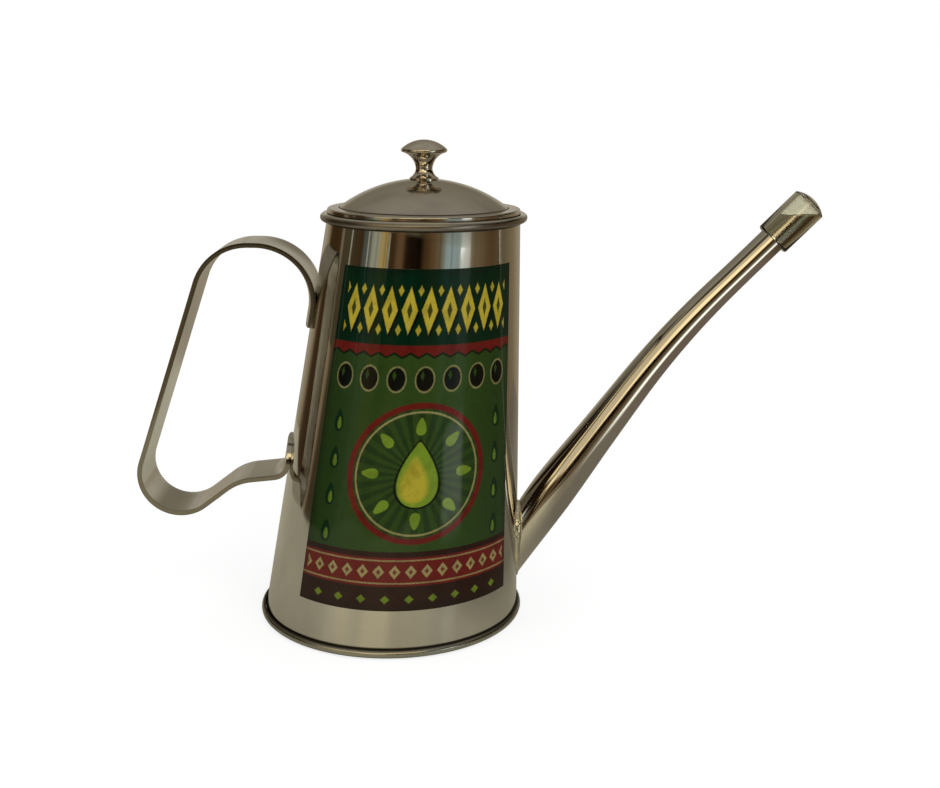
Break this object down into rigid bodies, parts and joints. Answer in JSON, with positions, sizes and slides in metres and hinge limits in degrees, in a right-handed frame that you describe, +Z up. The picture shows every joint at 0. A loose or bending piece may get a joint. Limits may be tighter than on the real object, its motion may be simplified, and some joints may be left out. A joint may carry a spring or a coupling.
{
  "type": "spouted oil can",
  "caption": "Lidded steel oil can with a leaning cone body, strap handle, long tapered spout with a clear push-on cap, domed lid with a turned knob and a wrap-round label.",
  "frame": {"origin": "centre of the ring that the can stands on, at table height", "axes": "+Z up, +X towards the spout, handle on the -X side"},
  "size_m": [0.2664, 0.1066, 0.189],
  "materials": {
    "body_steel": "polished",
    "base_steel": "polished",
    "handle_steel": "satin",
    "spout_steel": "polished",
    "weld_metal": "matt",
    "label_film": "glossy printed film",
    "lid_steel": "polished",
    "knob_nickel": "polished",
    "screw_steel": "plain",
    "clear_plastic": "clear"
  },
  "bodies": {
    "can": {"body_shell": "body_steel", "base_plate": "base_steel", "handle": "handle_steel", "spout_tube": "spout_steel", "spout_weld": "weld_metal", "label": "label_film"},
    "lid": {"lid_dome": "lid_steel", "lid_skirt": "lid_steel", "knob": "knob_nickel", "knob_washer": "screw_steel", "knob_screw": "screw_steel"},
    "cap": {"spout_cap": "clear_plastic"}
  },
  "joints": [
    {"name": "lid_lift", "type": "slide", "parent": "can", "child": "lid", "axis": [0, 0, 1], "range_m": [0, 0.06]},
    {"name": "cap_pull", "type": "slide", "parent": "can", "child": "cap", "axis": [0.697, 0, 0.717], "range_m": [0, 0.03]}
  ]
}
